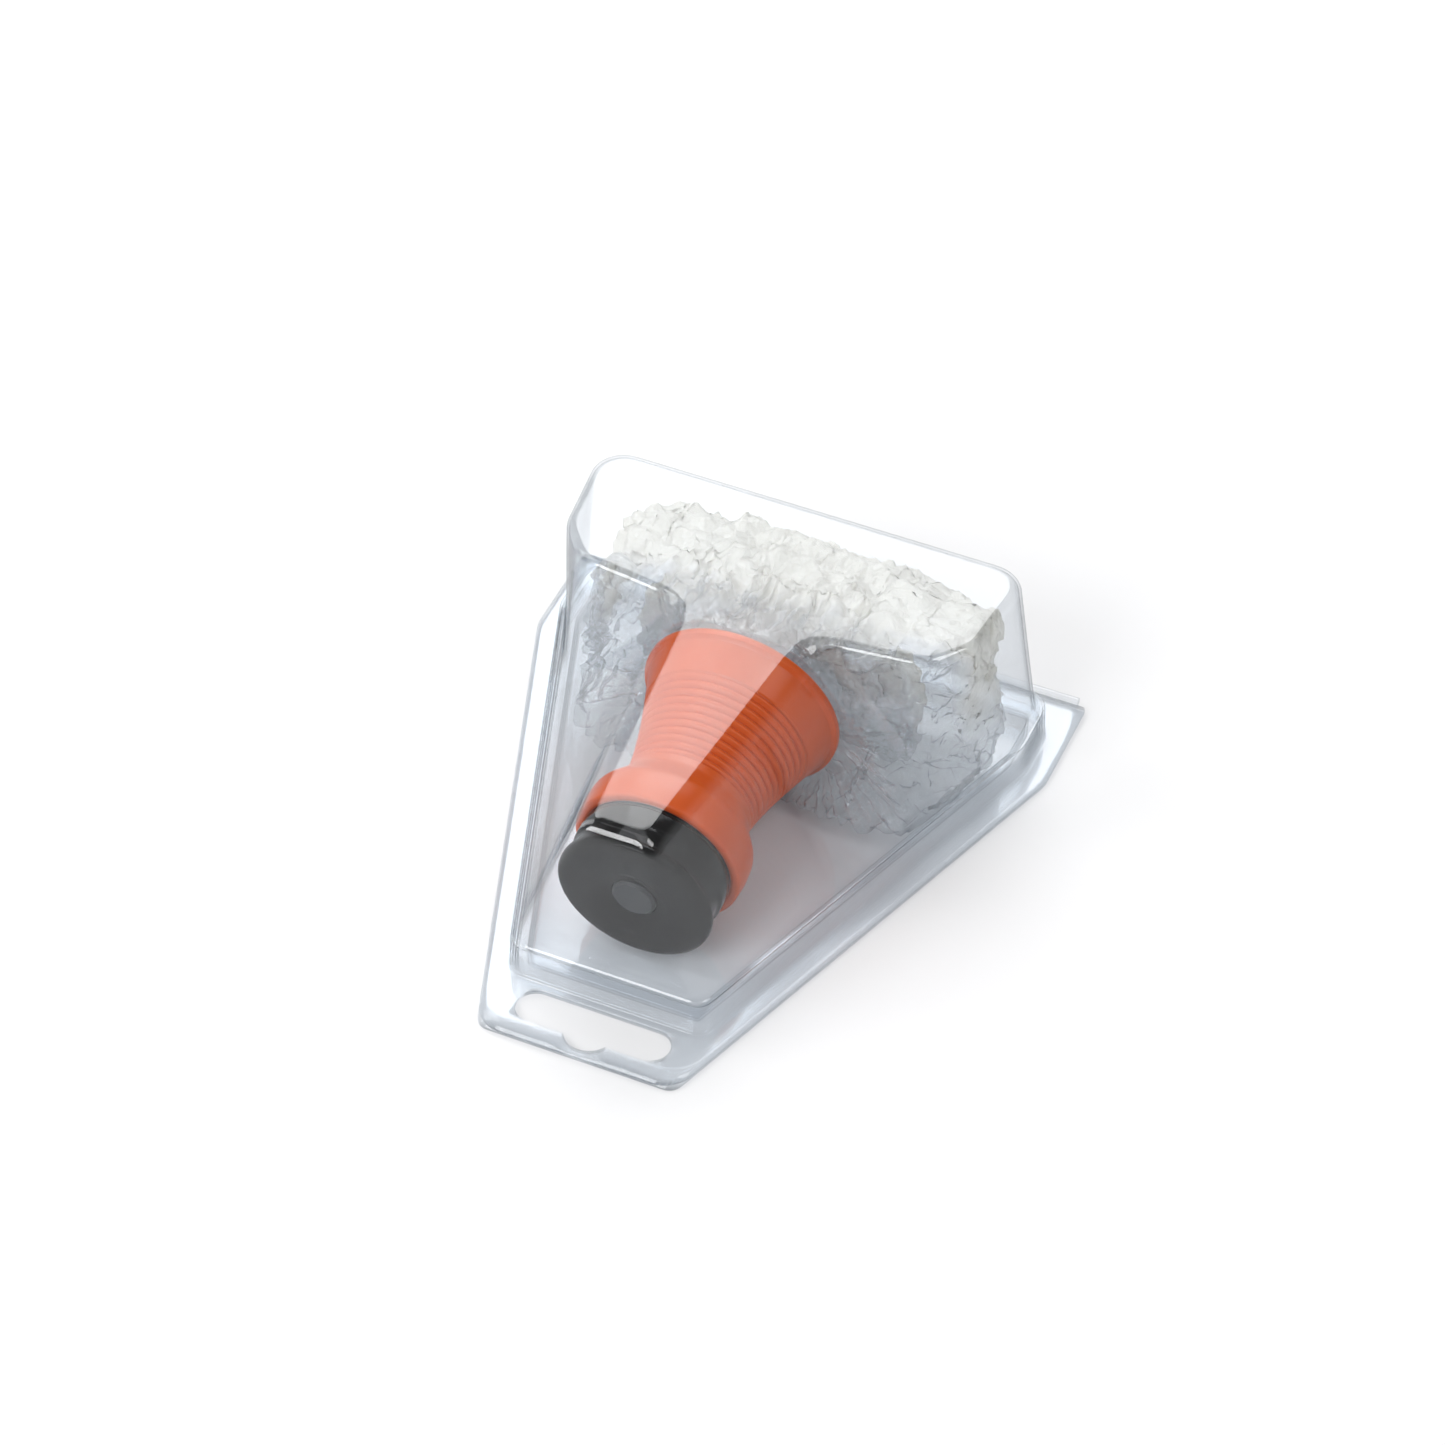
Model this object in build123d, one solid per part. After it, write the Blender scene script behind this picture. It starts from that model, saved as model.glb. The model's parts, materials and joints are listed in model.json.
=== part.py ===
from build123d import *
from math import hypot
import os

# Pheromone insect trap in its clear hanging pack, lying on the pack's back.
# All places below are millimetres in the pack's own layout: X across, Y from the narrow
# hanging end to the hinged wide end, Z up from the surface that the pack lies on.

# Pack outline and sheet
length = 127.0            # narrow edge to hinge bead
narrow_half = 20.5        # half width of the narrow edge
wide_half = 55.75         # half width past the taper
taper_length = 102.5      # narrow edge to the corner where the taper ends
sheet = 0.5               # thickness of the formed sheet
flange_z = 2 * sheet      # top of the two closed flanges

# Front shell: plinth, ledge and dome
plinth_top = 8.5
plinth_inset = 4.75
plinth_front, plinth_far = 14.1, 119.0
dome_inset = 6.05
dome_front, dome_far = 15.4, 117.6
dome_top = 44.2
ridge_front_y, ridge_half, ridge_spread = 18.6, 7.8, 0.094
ridge_end = 12.0          # the ridge ends this far inside the wide box's far wall
top_front_y, top_far_y = 79.0, 115.3
roof_share = 0.6          # part of an inset that the ridge's narrow top moves in by
wide_base = [(0, 76.0), (40.4, 80.6), (49.2, 103.0), (49.7, dome_far)]          # right half
wide_roof = [(0, top_front_y), (37.5, 83.4), (44.8, 90.5), (46.2, top_far_y)]   # right half
plinth_radii = (4.0, 8.0, 6.0)        # corners at the narrow end, the bend and the wide end
front_corner, back_corner = 7.0, 3.0  # flange corners at the narrow edge
bend_corner, far_corner = 8.0, 0.8    # flange corners at the bend and beside the hinge
least_radius = 0.5                    # smallest corner left when an outline is drawn in

# Hang slot, centred on X = 0
slot_width, slot_height, slot_y = 32.0, 8.0, 8.4
slot_bump_radius, slot_bump_depth = 5.0, 2.6

# Plug rim of the back shell, which presses into the plinth
plug_gap, plug_width, plug_height = 0.35, 3.0, 5.0

# Hinge bead along the wide edge
bead_radius = 0.9
bead_gap = 0.06
bead_setback = 2.0        # the bead stops short of both ends of the wide edge

# Trap: its axis starts at the cap's outer face and climbs towards the wide end
trap_start = (0, 26.8, 17.6)
trap_tilt = 5.0
cap_radius, cap_flange = 16.0, 2.8
hub_radius = 4.6
collar_front, collar_radius = 11.4, 17.4
waist_station, waist_radius = 27.0, 13.3
flare_station, flare_radius = 53.0, 20.3
neck_wall = 1.3
flare_power = 1.35        # how the trumpet opens: near 1 is a cone
rib_count, rib_pitch, rib_first, rib_depth = 11, 1.65, 26.4, 0.4
rib_valley = (0.45, 0.95, 1.3)  # floor starts, floor ends, next crest, from each rib's start

film_gap = 1.5            # the bag stands this far inside the front shell
slope = (wide_half - narrow_half) / taper_length
slant = hypot(1, slope)   # along the taper, for one millimetre of Y


def taper_half(y, inset=0.0):
    """Half width of the tapered outline at y, moved inwards by inset."""
    return narrow_half + slope * y - inset * slant


def house_points(front, far, inset):
    """Six corners of the tapered outline, which runs parallel past its bend."""
    half = wide_half - inset
    bend = (half - narrow_half + inset * slant) / slope
    right = [(taper_half(front, inset), front), (half, bend), (half, far)]
    return [(-x, y) for x, y in right] + right[::-1]


def house(front, far, inset, radii):
    """Face of the tapered outline with rounded corners: narrow, bend and wide."""
    points = house_points(front, far, inset)
    corners = list(radii) + list(radii)[::-1]
    return make_face(FilletPolyline(*points, radius=corners, close=True))


def mirrored_face(right_points, z):
    """Face at height z from points on the right, from front to back, and their mirror."""
    left_points = [(-x, y) for x, y in right_points if x > 0][::-1]
    outline = [(x, y, z) for x, y in list(right_points) + left_points]
    return make_face(Polyline(*outline, close=True))


def ridge_block(inset):
    """Wedge over the neck: tapered base, narrow top, running back to the wide box."""
    back = top_far_y - ridge_end
    base = [(taper_half(dome_front, dome_inset) - inset, dome_front + inset),
            (taper_half(back, dome_inset) - inset, back)]
    narrow = ridge_half - inset * roof_share
    top = [(narrow, ridge_front_y + inset),
           (narrow + ridge_spread * (back - ridge_front_y), back)]
    return loft([mirrored_face(base, plinth_top - inset),
                 mirrored_face(top, dome_top - inset)], ruled=True)


def wide_block(inset):
    """Deep box at the wide end, with a front wall that closes in to both sides."""
    def drawn_in(points):
        middle, front, side, far = points
        return [(0, middle[1] + inset), (front[0] - inset, front[1] + inset),
                (side[0] - inset, side[1]), (far[0] - inset, far[1] - inset)]

    return loft([mirrored_face(drawn_in(wide_base), plinth_top - inset),
                 mirrored_face(drawn_in(wide_roof), dome_top - inset)], ruled=True)


def plinth_block(inset, floor, radii):
    """Straight-sided plinth from floor up to the ledge."""
    face = house(plinth_front + inset, plinth_far - inset, plinth_inset + inset, radii)
    return extrude(Pos(0, 0, floor) * face, plinth_top - inset - floor)


def pack_hollow(inset, floor):
    """The room under the front shell, drawn in by inset from its outer faces."""
    radii = [max(r - inset, least_radius) for r in plinth_radii]
    return ridge_block(inset) + wide_block(inset) + plinth_block(inset, floor, radii)


def slot_cutter():
    """Long hang hole with a round bump towards the narrow edge."""
    bump_y = slot_y - slot_height / 2 + slot_bump_radius - slot_bump_depth
    face = Pos(0, slot_y) * SlotOverall(slot_width, slot_height)
    face += Pos(0, bump_y) * Circle(slot_bump_radius)
    return extrude(Pos(0, 0, -1) * face, 2 + flange_z)


def flange_plate(floor, corner):
    """Flat flange sheet, stopping short of the hinge bead."""
    end = length - 2 * bead_radius - bead_gap
    face = house(0, end, 0, (corner, bend_corner, far_corner))
    return extrude(Pos(0, 0, floor) * face, sheet) - slot_cutter()


def front_shell():
    """Clear domed front, one formed sheet of even thickness."""
    flange = flange_plate(sheet, front_corner)
    outer = pack_hollow(0, sheet)
    return flange + outer - pack_hollow(sheet, -sheet)


def back_shell():
    """Flat clear back with a raised plug rim, hollow underneath."""
    def ring(inset, floor, height):
        radii = [max(r - inset, least_radius) for r in plinth_radii]
        face = house(plinth_front + inset, plinth_far - inset, plinth_inset + inset, radii)
        return extrude(Pos(0, 0, floor) * face, height)

    outer = sheet + plug_gap
    inner = outer + plug_width
    rim = ring(outer, 0, plug_height) - ring(inner, sheet, plug_height)
    channel = ring(outer + sheet, 0, plug_height - sheet) - ring(inner - sheet, 0, plug_height)
    return flange_plate(0, back_corner) + rim - channel


def hinge_bead():
    """Folded web that joins both shells, a round bead along the wide edge."""
    span = 2 * (wide_half - bead_setback)
    place = Pos(0, length - bead_radius, bead_radius) * Rot(0, 90, 0)
    return place * Cylinder(bead_radius, span)


def on_axis(station=0.0):
    """Location on the trap's axis, Z along the axis towards the flare."""
    return Location(trap_start) * Rot(trap_tilt - 90, 0, 0) * Pos(0, 0, station)


def turned(profile):
    """Solid turned about the trap's axis from (radius, station) points."""
    face = make_face(Polyline(*[(r, 0, s) for r, s in profile], close=True))
    return on_axis() * revolve(face, Axis.Z)


def neck_radius(station):
    """Outer radius of the neck between the waist and the flare's rim."""
    share = max(station - waist_station, 0) / (flare_station - waist_station)
    return waist_radius + (flare_radius - waist_radius) * share ** flare_power


def funnel_neck():
    """Hourglass moulding: collar, waist with ribs, flare with a beaded rim."""
    outer = [(collar_radius - 1.0, collar_front), (collar_radius - 0.2, collar_front + 0.8),
             (collar_radius, 15.4), (collar_radius - 0.3, 18.4), (15.9, 20.6), (14.2, 23.2),
             (waist_radius + 0.1, 25.4)]
    for i in range(rib_count):
        start = rib_first + i * rib_pitch
        floor_start, floor_end, crest = rib_valley
        for offset, depth in ((0, 0), (floor_start, rib_depth), (floor_end, rib_depth),
                              (crest, 0)):
            outer.append((neck_radius(start + offset) - depth, start + offset))
    for station in (46.0, 48.5, 50.8):
        outer.append((neck_radius(station), station))
    outer += [(flare_radius + 0.25, 51.6), (flare_radius + 0.25, flare_station)]
    inner = [(flare_radius - neck_wall, flare_station)]
    for station in (50.8, 48.5, 46.0, 42.0, 38.0, 34.0, 30.0, 27.0):
        inner.append((neck_radius(station) - neck_wall, station))
    inner += [(waist_radius - neck_wall, 25.4), (14.4 - neck_wall, 22.6), (15.2, 19.6),
              (15.2, collar_front)]
    return turned(outer + inner)


def entry_cone():
    """One-way cone: wide at the collar, narrow throat towards the bag."""
    return turned([(11.8, 24.6), (11.9, 27.0), (11.3, 28.2), (5.9, 46.0), (5.9, 48.0),
                   (5.0, 48.0), (5.0, 45.8), (10.4, 27.8), (10.6, 24.6)])


def bag_ring():
    """Ring in the flare's mouth that pinches the bag's film."""
    def edge(station, depth):
        return (neck_radius(station) - neck_wall - depth, station)

    return turned([edge(47.8, 0.4), edge(50.0, 0.4), edge(52.6, 0.4), edge(52.6, 2.2),
                   edge(50.0, 2.4), edge(47.8, 2.0)])


def push_cap():
    """Black end cap: flanged face, stepped skirt and a plug that enters the collar."""
    skirt, plug, hollow = 15.6, 15.12, 13.6
    boss = hub_radius + 1.4
    return turned([(hub_radius, 0.9), (hub_radius + 1.6, 0.9), (hub_radius + 2.2, 0.3),
                   (cap_radius - 1.6, 0), (cap_radius - 0.5, 0.4), (cap_radius, 1.2),
                   (cap_radius, cap_flange - 0.6), (cap_radius - 0.7, cap_flange),
                   (skirt - 0.6, 3.1), (skirt - 0.6, 6.4), (skirt, 6.9), (skirt, 10.6),
                   (skirt - 0.4, 11.1), (plug, 11.1), (plug, 17.4), (plug - 0.5, 18.4),
                   (hollow, 18.4), (hollow, 3.4), (boss, 3.4), (boss, 9.0),
                   (hub_radius, 9.0)])


def cap_liner():
    """Soft sealing washer under the cap's face."""
    return turned([(6.2, 3.45), (13.5, 3.45), (13.5, 4.4), (6.2, 4.4)])


def lure_plug():
    """Black plug in the cap's centre, with a stub that holds the basket."""
    edge = hub_radius - 0.08
    return turned([(0, 0.3), (edge - 0.5, 0.3), (edge, 0.8), (edge, 8.6), (3.85, 8.6),
                   (3.85, 11.0), (3.0, 11.0), (3.0, 6.0), (0, 6.0)])


def lure_basket():
    """Slotted cage on the plug that lets the scent out."""
    outer, bore = hub_radius - 0.1, 3.9
    body = turned([(bore, 8.65), (outer, 8.65), (outer, 22.8), (2.4, 22.8), (2.4, 22.0),
                   (bore, 22.0)])
    for turn in (0, 60, 120):
        body -= on_axis(16.6) * Rot(0, 0, turn) * Box(12, 2.4, 7.6)
    return body


def lure_capsule():
    """Rubber lure, a small cup."""
    return turned([(0, 11.2), (3.2, 11.2), (3.6, 11.8), (3.6, 16.0), (3.2, 20.8),
                   (2.4, 21.8), (0, 21.8)])


def catch_bag():
    """Crumpled film bag: a skirt round the flare and the bulk in the wide box."""
    rim_clearance = 1.3       # between the film and the outside of the neck
    lip = 0.9                 # how far the film stands out past the flare's rim
    low, bag_far = 2.0, 114.0
    wall_clearance = 1.0      # between the film and the plug rim
    corners = (1.0, 4.0, 3.0)
    room = ridge_block(film_gap) + wide_block(film_gap)
    floor_inset = plinth_inset + sheet + plug_gap + plug_width + wall_clearance
    floor_face = house(70.0, bag_far, floor_inset, corners)
    low_room = extrude(Pos(0, 0, low) * floor_face, plinth_top - low)
    bulk = (room + low_room) & (Pos(0, 106.0, 22.0) * Box(120, 46.0, 40.0))
    skirt = room & (Pos(0, 77.0, 22.0) * Box(66, 14.0, 40.0))
    rim = flare_radius + rim_clearance
    rim_end = flare_station + lip
    hull = turned([(0, 36.0), (rim, 36.0), (rim, rim_end), (0, rim_end)])
    mouth = turned([(0, 50.0), (16.0, 50.0), (12.0, 64.0), (0, 64.0)])
    return bulk + skirt - hull - mouth


def save(name, shape):
    """Moves a piece from the pack's layout to the model's frame and writes it."""
    export_step(Pos(0, -length / 2, 0) * shape, f"parts/{name}.step")


pieces = {
    "back_shell": back_shell(),
    "front_shell": front_shell(),
    "hinge_bead": hinge_bead(),
    "funnel_neck": funnel_neck(),
    "entry_cone": entry_cone(),
    "bag_ring": bag_ring(),
    "catch_bag": catch_bag(),
    "push_cap": push_cap(),
    "cap_liner": cap_liner(),
    "lure_plug": lure_plug(),
    "lure_basket": lure_basket(),
    "lure_capsule": lure_capsule(),
}

os.makedirs("parts", exist_ok=True)
for name, shape in pieces.items():
    save(name, shape)
    print(name, len(shape.solids()), round(shape.volume))
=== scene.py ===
import json
import math
import bpy
import numpy as np
from mathutils import Matrix, Vector

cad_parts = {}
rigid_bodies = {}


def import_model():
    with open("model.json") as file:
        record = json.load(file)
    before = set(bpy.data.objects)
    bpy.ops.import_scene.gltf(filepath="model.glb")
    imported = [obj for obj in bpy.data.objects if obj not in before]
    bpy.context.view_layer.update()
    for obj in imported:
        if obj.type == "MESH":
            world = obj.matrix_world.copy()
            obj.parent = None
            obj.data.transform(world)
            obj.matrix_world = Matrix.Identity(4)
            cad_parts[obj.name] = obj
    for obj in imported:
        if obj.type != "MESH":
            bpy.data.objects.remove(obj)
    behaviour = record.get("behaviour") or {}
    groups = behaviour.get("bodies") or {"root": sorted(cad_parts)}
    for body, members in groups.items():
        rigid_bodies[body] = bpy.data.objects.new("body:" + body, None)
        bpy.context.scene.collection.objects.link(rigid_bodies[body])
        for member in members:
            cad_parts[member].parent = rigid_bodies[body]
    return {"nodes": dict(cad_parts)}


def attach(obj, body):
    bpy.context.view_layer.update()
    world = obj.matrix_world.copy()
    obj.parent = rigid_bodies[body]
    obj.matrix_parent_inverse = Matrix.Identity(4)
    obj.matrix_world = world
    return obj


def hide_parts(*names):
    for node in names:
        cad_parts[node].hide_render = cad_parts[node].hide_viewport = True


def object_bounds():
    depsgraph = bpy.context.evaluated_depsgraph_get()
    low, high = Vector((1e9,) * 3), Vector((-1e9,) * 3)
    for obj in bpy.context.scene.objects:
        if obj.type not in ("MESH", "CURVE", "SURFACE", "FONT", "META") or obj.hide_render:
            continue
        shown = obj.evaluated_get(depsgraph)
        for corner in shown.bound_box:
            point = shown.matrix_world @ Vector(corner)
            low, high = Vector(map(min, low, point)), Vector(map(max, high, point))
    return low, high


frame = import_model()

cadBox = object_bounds()
mm = 0.001
edgeY = cadBox[0][1]  # the pack's narrow edge; places below are counted from it, in mm


# Places in mm (X across, Y from the narrow edge, Z up) to metres in the frame.
def toFrame(points):
    placed = np.asarray(points, float) * mm
    placed[..., 1] += edgeY
    return placed


# sRGB hex to linear: c / 12.92 up to 0.04045, else ((c + 0.055) / 1.055) ** 2.4.
def linear(hexColour, alpha=1.0):
    c = np.array([int(hexColour[i:i + 2], 16) for i in (1, 3, 5)]) / 255
    c = np.where(c <= 0.04045, c / 12.92, ((c + 0.055) / 1.055) ** 2.4)
    return (*c.tolist(), alpha)


def meshObject(name, verts, faces, smooth=True):
    mesh = bpy.data.meshes.new(name)
    mesh.from_pydata(verts.reshape(-1, 3), [], faces)
    mesh.polygons.foreach_set("use_smooth", np.full(len(mesh.polygons), smooth))
    mesh.update()
    piece = bpy.data.objects.new(name, mesh)
    bpy.context.scene.collection.objects.link(piece)
    return piece


# Quads of a grid of rows by columns whose columns close on themselves.
def gridFaces(rows, columns, first=0):
    i, j = np.meshgrid(np.arange(rows - 1), np.arange(columns), indexing="ij")
    k = (j + 1) % columns
    low, high = i * columns, (i + 1) * columns
    return (first + np.stack([low + j, low + k, high + k, high + j], -1)).reshape(-1, 4)


# Unit normals of such a grid: the cross product of its differences around and along.
def gridNormals(points):
    along = np.gradient(points, axis=0)
    around = np.roll(points, -1, 1) - np.roll(points, 1, 1)
    normal = np.cross(around, along)
    return normal / np.maximum(np.linalg.norm(normal, axis=-1, keepdims=True), 1e-12)


# The larger of a and b, blended over width where they are close:
# b + (a - b) h + width h (1 - h), with h = 0.5 + (a - b) / (2 width) held between 0 and 1.
def smoothMax(a, b, width):
    h = np.clip(0.5 + 0.5 * (a - b) / width, 0, 1)
    return b + (a - b) * h + width * h * (1 - h)


def smoothStep(x):
    x = np.clip(x, 0, 1)
    return x * x * (3 - 2 * x)


# Corners of a convex polygon, counter-clockwise, after every side has moved in by distance:
# each is where the moved side before it meets the moved side after it.
def insetPolygon(points, distance):
    p = np.asarray(points, float)
    side = np.roll(p, -1, 0) - p
    side /= np.linalg.norm(side, axis=1, keepdims=True)
    inward = np.stack([-side[:, 1], side[:, 0]], 1)
    moved, before = p + inward * distance, np.roll(side, 1, 0)
    gap = moved - (np.roll(p, 1, 0) + np.roll(inward, 1, 0) * distance)
    cross = before[:, 0] * side[:, 1] - before[:, 1] * side[:, 0]
    slide = (gap[:, 1] * before[:, 0] - gap[:, 0] * before[:, 1]) / cross
    return moved - side * slide[:, None]


# Closed outline of a convex polygon with an arc of the given radius at each corner. An arc starts
# radius / tan(half the corner's angle) from the corner, and its centre is on the bisector.
def roundedOutline(points, radii, perCorner=14):
    p = np.asarray(points, float)
    before, after = np.roll(p, 1, 0) - p, np.roll(p, -1, 0) - p
    lengthBefore, lengthAfter = np.linalg.norm(before, axis=1), np.linalg.norm(after, axis=1)
    u, v = before / lengthBefore[:, None], after / lengthAfter[:, None]
    half = 0.5 * np.arccos(np.clip((u * v).sum(1), -1, 1))
    room = 0.49 * np.minimum(lengthBefore, lengthAfter)  # neighbouring arcs must not meet
    reach = np.minimum(np.asarray(radii, float) / np.tan(half), room)
    r = reach * np.tan(half)
    middle = (u + v) / np.linalg.norm(u + v, axis=1, keepdims=True)
    arcCentre = p + middle * (r / np.sin(half))[:, None]
    start, end = p + u * reach[:, None] - arcCentre, p + v * reach[:, None] - arcCentre
    a0, a1 = np.arctan2(start[:, 1], start[:, 0]), np.arctan2(end[:, 1], end[:, 0])
    turn = (a1 - a0 + np.pi) % (2 * np.pi) - np.pi
    a = a0[:, None] + turn[:, None] * np.linspace(0, 1, perCorner)[None]
    arcs = arcCentre[:, None] + r[:, None, None] * np.stack([np.cos(a), np.sin(a)], -1)
    return arcs.reshape(-1, 2)


# Distance from a centre to a closed outline in each direction, interpolated on the angle.
def radial(outline, middle, directions):
    closed = np.vstack([outline, outline[:1]])
    step = np.linspace(0, 1, 24, endpoint=False)[None, :, None]
    fine = (closed[:-1, None] * (1 - step) + closed[1:, None] * step).reshape(-1, 2)
    rel = fine - middle
    a, r = np.arctan2(rel[:, 1], rel[:, 0]) % (2 * np.pi), np.hypot(rel[:, 0], rel[:, 1])
    order = np.argsort(a)
    return np.interp(directions % (2 * np.pi), a[order], r[order], period=2 * np.pi)


# Path through corner points whose inner corners are softened by the reach given for each: a
# quadratic curve (1 - t)^2 start + 2 t (1 - t) corner + t^2 end through both ends of the reach.
def softPath(corners, reaches, steps=6):
    points = [np.array(corner, float) for corner in corners]
    path = [points[0]]
    t = np.linspace(0, 1, steps)[:, None]
    for a, b, c, reach in zip(points[:-2], points[1:-1], points[2:], reaches):
        back, ahead = np.linalg.norm(a - b), np.linalg.norm(c - b)
        start = b + (a - b) / back * min(reach, 0.49 * back)
        end = b + (c - b) / ahead * min(reach, 0.49 * ahead)
        path += list((1 - t) ** 2 * start + 2 * t * (1 - t) * b + t * t * end)
    path.append(points[-1])
    return np.array(path)


# Adds a node. Settings name a property, or a socket by name or number; links name a socket,
# with _ for a space, or its number after an i.
def addNode(tree, kind, settings=None, **links):
    node = tree.nodes.new(kind)
    for key, value in (settings or {}).items():
        if isinstance(key, int) or key in node.inputs:
            node.inputs[key].default_value = value
        else:
            setattr(node, key, value)
    for key, source in links.items():
        index = int(key[1:]) if key[0] == "i" and key[1:].isdigit() else key.replace("_", " ")
        tree.links.new(source, node.inputs[index])
    return node


def newMaterial(name):
    material = bpy.data.materials.new(name)
    material.use_nodes = True
    tree = material.node_tree
    tree.nodes.clear()
    output = tree.nodes.new("ShaderNodeOutputMaterial")
    return material, tree, output.inputs["Surface"]


# base + scale * facing ** power, where facing is 0 head-on and 1 edge-on.
def facingPower(tree, base, power, scale):
    facing = addNode(tree, "ShaderNodeLayerWeight", {"Blend": 0.5}).outputs["Facing"]
    raised = addNode(tree, "ShaderNodeMath", {"operation": "POWER", 1: power}, i0=facing)
    return addNode(tree, "ShaderNodeMath", {"operation": "MULTIPLY_ADD", 1: scale, 2: base},
                   i0=raised.outputs[0]).outputs[0]


sheetLook = {
    "tint": "#fbfcfd", "edge": "#7d848b",    # colour let through head-on and edge-on
    "edgePower": 6.0,                        # how late the edge colour comes in
    "gloss": 0.036, "glossPower": 5.0, "glossEdge": 0.45, "roughness": 0.05,
    "ripple": 14, "rippleStrength": 0.05,    # width of the ripples in mm
}


# PET sheet, vacuum-formed: clear and glossy, greyer where it is seen edge-on, so that walls and
# rounded edges read as grey lines, with a slight ripple from the forming in its reflections.
def clearSheetMaterial(name):
    s = sheetLook
    material, tree, surface = newMaterial(name)
    shade = addNode(tree, "ShaderNodeMix",
                    {"data_type": "RGBA", 6: linear(s["tint"]), 7: linear(s["edge"])},
                    i0=facingPower(tree, 0.0, s["edgePower"], 1.0)).outputs[2]
    through = addNode(tree, "ShaderNodeBsdfTransparent", None, Color=shade)
    place = addNode(tree, "ShaderNodeTexCoord").outputs["Object"]
    noise = addNode(tree, "ShaderNodeTexNoise", {"Scale": 1000 / s["ripple"], "Detail": 2.0},
                    Vector=place)
    bump = addNode(tree, "ShaderNodeBump", {"Strength": s["rippleStrength"], "Distance": 0.001},
                   Height=noise.outputs["Fac"])
    gloss = addNode(tree, "ShaderNodeBsdfGlossy", {"Roughness": s["roughness"], "Color": (1, 1, 1, 1)},
                    Normal=bump.outputs["Normal"])
    mix = addNode(tree, "ShaderNodeMixShader", None, i1=through.outputs[0], i2=gloss.outputs[0],
                  Fac=facingPower(tree, s["gloss"], s["glossPower"], s["glossEdge"]))
    tree.links.new(mix.outputs[0], surface)
    return material


orangeLook = {
    "dark": "#d25000", "light": "#dc5c00", "glow": "#ff7200",
    "glowShare": 0.2, "roughness": 0.32, "grain": 6.25,  # width of the colour's clouds in mm
}


# Polypropylene, injection-moulded, coloured orange: soft gloss with faint clouds in the colour,
# and light that passes through the thin walls and makes the shaded side glow.
def orangeMaterial(name):
    s = orangeLook
    material, tree, surface = newMaterial(name)
    place = addNode(tree, "ShaderNodeTexCoord").outputs["Object"]
    noise = addNode(tree, "ShaderNodeTexNoise", {"Scale": 1000 / s["grain"], "Detail": 3.0},
                    Vector=place).outputs["Fac"]
    colour = addNode(tree, "ShaderNodeMix",
                     {"data_type": "RGBA", 6: linear(s["dark"]), 7: linear(s["light"])},
                     i0=noise).outputs[2]
    bump = addNode(tree, "ShaderNodeBump", {"Strength": 0.05, "Distance": 0.0005}, Height=noise)
    body = addNode(tree, "ShaderNodeBsdfPrincipled", {"Roughness": s["roughness"], "IOR": 1.45},
                   Base_Color=colour, Normal=bump.outputs["Normal"])
    glow = addNode(tree, "ShaderNodeBsdfTranslucent", {"Color": linear(s["glow"])})
    mix = addNode(tree, "ShaderNodeMixShader", {"Fac": s["glowShare"]},
                  i1=body.outputs[0], i2=glow.outputs[0])
    tree.links.new(mix.outputs[0], surface)
    return material


# Moulded plastic, rubber or foam: one colour with a skin grain, its width in mm, that breaks up
# the gloss a little.
def mouldedMaterial(name, colour, roughness, grain=8.0, gloss=1.5):
    material, tree, surface = newMaterial(name)
    place = addNode(tree, "ShaderNodeTexCoord").outputs["Object"]
    noise = addNode(tree, "ShaderNodeTexNoise", {"Scale": 1000 / grain, "Detail": 3.0},
                    Vector=place).outputs["Fac"]
    rough = addNode(tree, "ShaderNodeMapRange", {"To Min": roughness * 0.85, "To Max": roughness * 1.2},
                    Value=noise)
    bump = addNode(tree, "ShaderNodeBump", {"Strength": 0.04, "Distance": 0.0004}, Height=noise)
    body = addNode(tree, "ShaderNodeBsdfPrincipled", {"Base Color": linear(colour), "IOR": gloss},
                   Roughness=rough.outputs["Result"], Normal=bump.outputs["Normal"])
    tree.links.new(body.outputs[0], surface)
    return material


filmLook = {
    "milky": "#f3f1e9", "thin": "#e8edf3", "clear": "#f9fafb",
    "leastMilk": 0.07, "mostMilk": 0.8,      # share of milky film where it is single and bunched
    "glowShare": 0.4, "roughness": 0.2,
    "gloss": 0.13, "glossPower": 3.0, "glossEdge": 0.25, "glossRoughness": 0.12,
    "crinkle": 2.5, "crinkleStrength": 0.75, "crinkleDepth": 0.0012,  # crinkle's width in mm
}


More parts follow.
